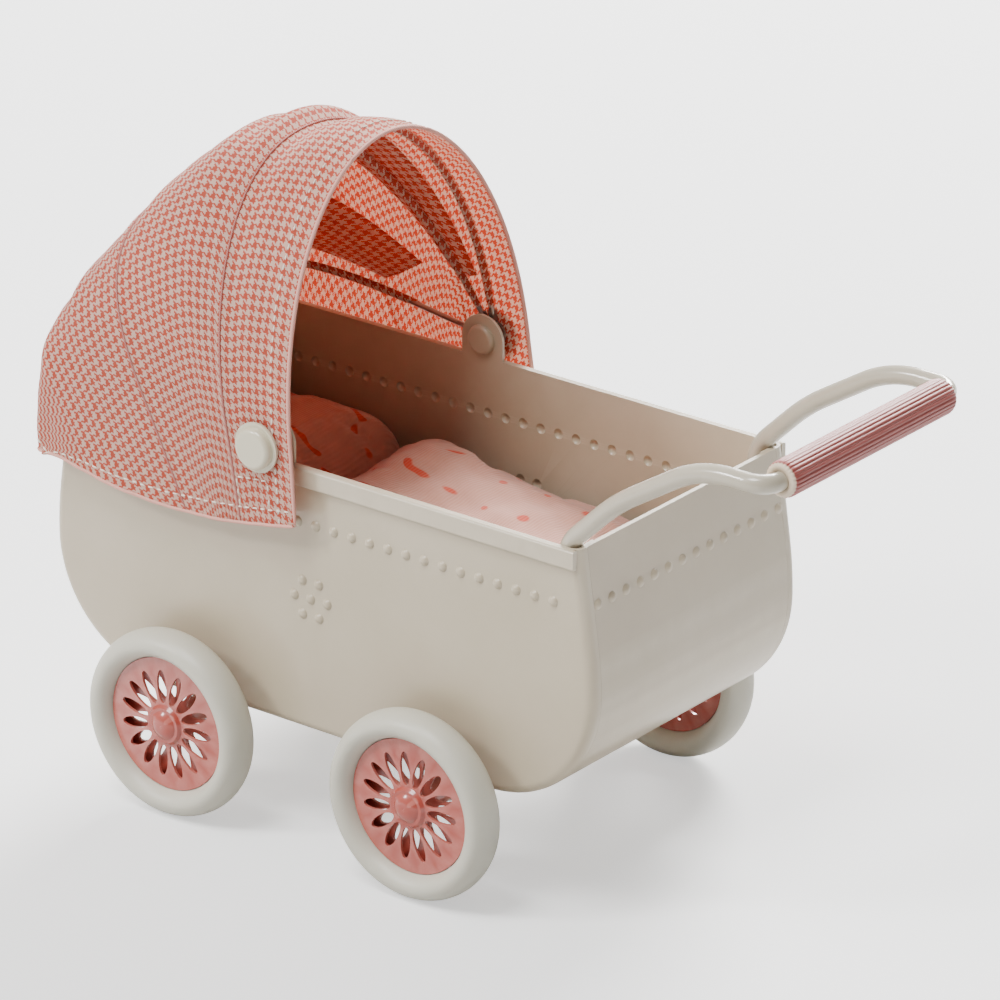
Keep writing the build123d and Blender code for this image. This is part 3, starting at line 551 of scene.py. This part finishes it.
class PRAM_OT_metalwork(bpy.types.Operator):
    """Paint the tub, wheels, brackets, handle rod and hood fittings"""

    bl_idname = "pram.metalwork"
    bl_label = "Metalwork"

    def execute(self, context):
        # the paler second tones given to the cream and coral enamels are painted highlights on their rounded
        # edges
        cream = enamel("cream_paint", "#BCAF98", "#B5A890", 0.34, 0.3, edge_highlight="#D3C9B4")
        rod = enamel("cream_enamel", "#BDB4A2", "#B1A895", 0.25, 0.6)
        coral = enamel("coral_enamel", "#AC4C40", "#A24438", 0.24, 0.6, edge_highlight="#D98F82")
        ivory = enamel("ivory_snap", "#CFC7AE", "#C4BCA3", 0.3, 0.5)
        steel = metal("wire_steel", "#A9A8A4", 0.35)
        paint_nodes(cream, "cream_paint", "tub_", "bracket_", "handle_strap", "axle_")
        paint_nodes(rod, "cream_enamel", "handle_rod")
        paint_nodes(coral, "coral_enamel", "outer_disc", "inner_disc", "hub_")
        paint_nodes(ivory, "ivory_snap", "hood_snap")
        paint_nodes(steel, "steel_wire", "hood_washer", "hood_bow")
        paint_nodes(cream, "cream_paint", "hood_stud")
        paint_nodes(rubber(), "pale_rubber", "tyre_")
        return {"FINISHED"}


class PRAM_OT_grip(bpy.types.Operator):
    """Fluted grip on the handle rod, with its raw ends"""

    bl_idname = "pram.grip"
    bl_label = "Grip"

    def execute(self, context):
        flutes = context.scene.pram.grip_flutes
        half, radius, bore = 23.6, 3.3, 1.76
        along = np.array([-half, -half, -half, -half + 0.25, -half + 0.7, -half + 1.4])
        level = np.array([bore, 2.5, radius - 0.75, radius - 0.3, radius - 0.08, radius])
        middle = np.linspace(-half + 2.4, half - 2.4, 60)
        along = np.concatenate([along, middle, -along[::-1]])
        level = np.concatenate([level, np.full(60, radius), level[::-1]])
        around = flutes * 8
        angle = np.linspace(0, 2 * np.pi, around, endpoint=False)
        # the flutes are cut in the round face only, not in the ends
        depth = 0.17 * np.clip((level - 2.6) / 0.5, 0, 1)
        wave = np.abs(np.sin(angle * flutes / 2))[None, :] ** 0.6
        r = level[:, None] - depth[:, None] * (1 - wave)
        points = np.stack([GRIP[0] + r * np.cos(angle), np.repeat(along[:, None], around, 1),
                           GRIP[1] + r * np.sin(angle)], -1)
        faces = grid_faces(len(along), around, wrap_rows=True, wrap_cols=True)
        grip = make_mesh("fluted_grip", points.reshape(-1, 3), faces)
        grip.data.materials.append(rose_lacquer(half))
        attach(grip, "tub")
        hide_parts("handle_grip")
        return {"FINISHED"}


class PRAM_OT_hood(bpy.types.Operator):
    """Check-cloth hood with bow pockets, seams and stitching"""

    bl_idname = "pram.hood"
    bl_label = "Hood"

    def execute(self, context):
        settings = context.scene.pram
        hood = hood_shell(settings)
        fold_with_hood(hood)
        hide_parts("hood_cloth_front", "hood_cloth_middle", "hood_skirt")
        threads = hood_threads(settings)
        for thread in threads:
            fold_with_hood(thread)
        for sleeve, body in bow_sleeves():
            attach(sleeve, body)
        return {"FINISHED"}


# ------------------------------------------------------------------ bedding
def cushion_shell(half_x, half_y, bottom, top, square, squeeze, steps=72):
    """Closed cushion form about the origin, in mm: a superellipse seen from above, pinched to a seam round
    its edge. square sets how boxy its outline is and squeeze how sharply it thins towards the seam."""
    u = np.linspace(0, 2 * np.pi, 2 * steps, endpoint=False)[None, :]
    v = np.linspace(-np.pi / 2, np.pi / 2, steps)[:, None]
    round_off = np.sign(np.cos(v)) * np.abs(np.cos(v)) ** squeeze
    x = half_x * round_off * np.sign(np.cos(u)) * np.abs(np.cos(u)) ** (2 / square)
    y = half_y * round_off * np.sign(np.sin(u)) * np.abs(np.sin(u)) ** (2 / square)
    z = np.where(v > 0, top * np.sin(v), -bottom * np.sin(-v)) + 0 * u
    return np.stack([x, y, z], -1)


def inflated(name, box_x, box_y, box_z, slack, pressure, cap, voxel, fall=0.0):
    """Stuffed piece in the box given by three (low, high) pairs in mm: a pinched shell a little smaller than
    the box is remeshed and blown up as cloth at ten times its size. No point moves more than cap mm or far
    past the box, and the piece thins by fall towards its far end."""
    cx, cy = np.mean(box_x), np.mean(box_y)
    half_x, half_y = (box_x[1] - box_x[0]) / 2, (box_y[1] - box_y[0]) / 2
    height = box_z[1] - box_z[0]
    base = box_z[0] + height * 0.42
    shell = cushion_shell(half_x - slack, half_y - slack, height * 0.38, height * 0.5, 9.0, 0.22)
    shell = shell + [cx, cy, base]
    ten = 10 * MM
    mesh = bpy.data.meshes.new(name)
    rows, cols = shell.shape[:2]
    faces = grid_faces(rows, cols, wrap_cols=True)
    mesh.from_pydata((shell.reshape(-1, 3) * ten).tolist(), [], faces.tolist())
    obj = bpy.data.objects.new(name, mesh)
    bpy.context.scene.collection.objects.link(obj)
    remesh = obj.modifiers.new("remesh", "REMESH")
    remesh.mode = "VOXEL"
    remesh.voxel_size = voxel * ten
    apply_modifiers(obj)
    start = np.empty(len(obj.data.vertices) * 3)
    obj.data.vertices.foreach_get("co", start)
    start = start.reshape(-1, 3)
    cloth = obj.modifiers.new("cloth", "CLOTH")
    cloth.settings.use_pressure = True
    cloth.settings.uniform_pressure_force = pressure
    cloth.settings.quality = 5
    cloth.settings.mass = 0.3
    cloth.settings.tension_stiffness = 12
    cloth.settings.compression_stiffness = 12
    cloth.settings.shear_stiffness = 4
    cloth.settings.bending_stiffness = 0.15
    cloth.settings.effector_weights.gravity = 0.0
    cloth.point_cache.frame_start = 1
    cloth.point_cache.frame_end = 20
    for step in range(1, 21):
        bpy.context.scene.frame_set(step)
    apply_modifiers(obj)
    bpy.context.scene.frame_set(1)
    now = np.empty(len(obj.data.vertices) * 3)
    obj.data.vertices.foreach_get("co", now)
    now = now.reshape(-1, 3)
    move = now - start
    size = np.linalg.norm(move, axis=1, keepdims=True)
    move *= np.minimum(1, cap * ten / np.maximum(size, 1e-9))
    made = (start + move) / ten
    x, y, z = made.T
    along = np.clip((x - box_x[0]) / (box_x[1] - box_x[0]), 0, 1)
    made[:, 2] -= fall * along * np.clip((z - base) / height * 2, 0, 1)
    # soft dents and creases
    made[:, 2] += np.where(z > base, 1.0, 0.0) * (
        0.9 * np.sin(0.15 * x + 0.13 * y + 1.0) * np.sin(0.13 * y - 0.07 * x)
        + 0.22 * np.sin(0.45 * x - 0.31 * y) + 0.12 * np.sin(0.9 * y + 0.4 * x + 0.7))
    for k, (low, high) in enumerate((box_x, box_y, box_z)):
        made[:, k] = np.clip(made[:, k], low + 0.02 * (made[:, k] - low), high + 0.02 * (made[:, k] - high))
    obj.data.vertices.foreach_set("co", place(made).ravel())
    obj.data.polygons.foreach_set("use_smooth", np.ones(len(obj.data.polygons), bool))
    obj.data.update()
    finer = obj.modifiers.new("finer", "SUBSURF")
    finer.levels = finer.render_levels = 1
    apply_modifiers(obj)
    return obj


class PRAM_OT_bedding(bpy.types.Operator):
    """Mattress, pillow and duvet in dotted jersey"""

    bl_idname = "pram.bedding"
    bl_label = "Bedding"

    def execute(self, context):
        wide = (-27.3, 27.3)
        pillow = inflated("stuffed_pillow", (-55.0, -22.1), wide, (34.8, 59.5), 0.5, 4.0, 2.5, 0.7)
        duvet = inflated("stuffed_duvet", (-21.9, 50.0), wide, (34.8, 61.0), 0.5, 3.0, 2.5, 0.8, fall=10.0)
        mattress = inflated("stuffed_mattress", (-53.0, 53.0), wide, (22.5, 34.2), 1.0, 2.0, 2.0, 1.0)
        for obj, body, cad, shift, fill in ((pillow, "pillow_body", "pillow", 0.0, 0.7),
                                            (duvet, "duvet_body", "duvet", 0.0011, 0.5),
                                            (mattress, "tub", "mattress", 0.0017, 0.6)):
            obj.data.materials.clear()
            obj.data.materials.append(dotted_jersey(f"jersey_{cad}", shift))
            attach(obj, body)
            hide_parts(cad)
        return {"FINISHED"}


# ------------------------------------------------------------------ stage, in metres
LIGHTS = [  # name, place, what it is aimed at, watts, side
    ("key", (-0.85, -1.0, 1.0), (-0.02, 0, 0.05), 16.0, 0.3),
    ("back", (-0.35, 1.1, 0.75), (-0.04, 0, 0.1), 60.0, 0.6),
    ("over", (-0.1, -0.55, 1.25), (0, 0, 0.05), 16.0, 0.5),
]
CAMERA_AT = ((754.4 + TUB_X) * MM, -945.8 * MM, 574.9 * MM)
CAMERA_AHEAD = (-0.5647, 0.7247, -0.3949)
CAMERA_LENS = 268.2
FLOOR = 6


def aim(obj, at, ahead):
    """Put a light or camera at a place, looking along a direction."""
    obj.location = at
    obj.rotation_euler = Vector(ahead).to_track_quat("-Z", "Y").to_euler()
    bpy.context.scene.collection.objects.link(obj)


class PRAM_OT_stage(bpy.types.Operator):
    """Pale floor, soft studio light and the camera"""

    bl_idname = "pram.stage"
    bl_label = "Stage"

    def execute(self, context):
        scene = context.scene
        mesh = bpy.data.meshes.new("studio_floor")
        corners = [(-FLOOR, -FLOOR, 0), (FLOOR, -FLOOR, 0), (FLOOR, FLOOR, 0), (-FLOOR, FLOOR, 0)]
        mesh.from_pydata(corners, [], [(0, 1, 2, 3)])
        floor = bpy.data.objects.new("studio_floor", mesh)
        scene.collection.objects.link(floor)
        material, tree, shader, _ = new_material("floor_paper")
        shader.inputs["Base Color"].default_value = (0.7, 0.7, 0.7, 1)
        shader.inputs["Roughness"].default_value = 0.9
        shader.inputs["Emission Color"].default_value = (1, 1, 1, 1)
        # the paper glows to the eye alone, so it is pale without throwing light up at the pram
        seen = node(tree, "ShaderNodeLightPath").outputs["Is Camera Ray"]
        tree.links.new(math(tree, "MULTIPLY", seen, 0.8), shader.inputs["Emission Strength"])
        floor.data.materials.append(material)
        world = bpy.data.worlds.new("studio")
        scene.world = world
        world.use_nodes = True
        # the room is dimmer on the handle's side
        sky = world.node_tree
        ray = node(sky, "ShaderNodeSeparateXYZ", {0: node(sky, "ShaderNodeTexCoord").outputs["Generated"]})
        level = node(sky, "ShaderNodeMapRange", {"Value": ray.outputs[0], "From Min": -0.3, "From Max": 0.6,
                                                 "To Min": 0.85, "To Max": 0.1})
        sky.nodes["Background"].inputs[0].default_value = (1.0, 0.98, 0.955, 1)
        sky.links.new(level.outputs[0], sky.nodes["Background"].inputs[1])
        for name, at, target, power, size in LIGHTS:
            light = bpy.data.lights.new(name, "AREA")
            light.energy = power
            light.size = size
            obj = bpy.data.objects.new(name, light)
            aim(obj, at, Vector(target) - Vector(at))
        camera = bpy.data.cameras.new("camera")
        camera.lens = CAMERA_LENS
        camera.sensor_width = 36
        camera.clip_start = 0.05
        eye = bpy.data.objects.new("camera", camera)
        aim(eye, CAMERA_AT, CAMERA_AHEAD)
        scene.camera = eye
        return {"FINISHED"}


class PRAM_PT_panel(bpy.types.Panel):
    """Sizes and build steps"""

    bl_idname = "PRAM_PT_panel"
    bl_label = "Tin doll pram"
    bl_space_type = "VIEW_3D"
    bl_region_type = "UI"
    bl_category = "Pram"

    def draw(self, context):
        for name in ("cloth_thickness", "pocket_depth", "grip_flutes", "stitch_length"):
            self.layout.prop(context.scene.pram, name)
        for operator in OPERATORS:
            self.layout.operator(operator.bl_idname)


OPERATORS = (PRAM_OT_metalwork, PRAM_OT_grip, PRAM_OT_hood, PRAM_OT_bedding, PRAM_OT_stage)
CLASSES = (TinPramSettings, *OPERATORS, PRAM_PT_panel)


def register():
    for cls in CLASSES:
        bpy.utils.register_class(cls)
    bpy.types.Scene.pram = bpy.props.PointerProperty(type=TinPramSettings)


def unregister():
    del bpy.types.Scene.pram
    for cls in reversed(CLASSES):
        bpy.utils.unregister_class(cls)


def main():
    register()
    bpy.ops.pram.metalwork()
    bpy.ops.pram.grip()
    bpy.ops.pram.hood()
    bpy.ops.pram.bedding()
    bpy.ops.pram.stage()


if __name__ == "__main__":
    main()
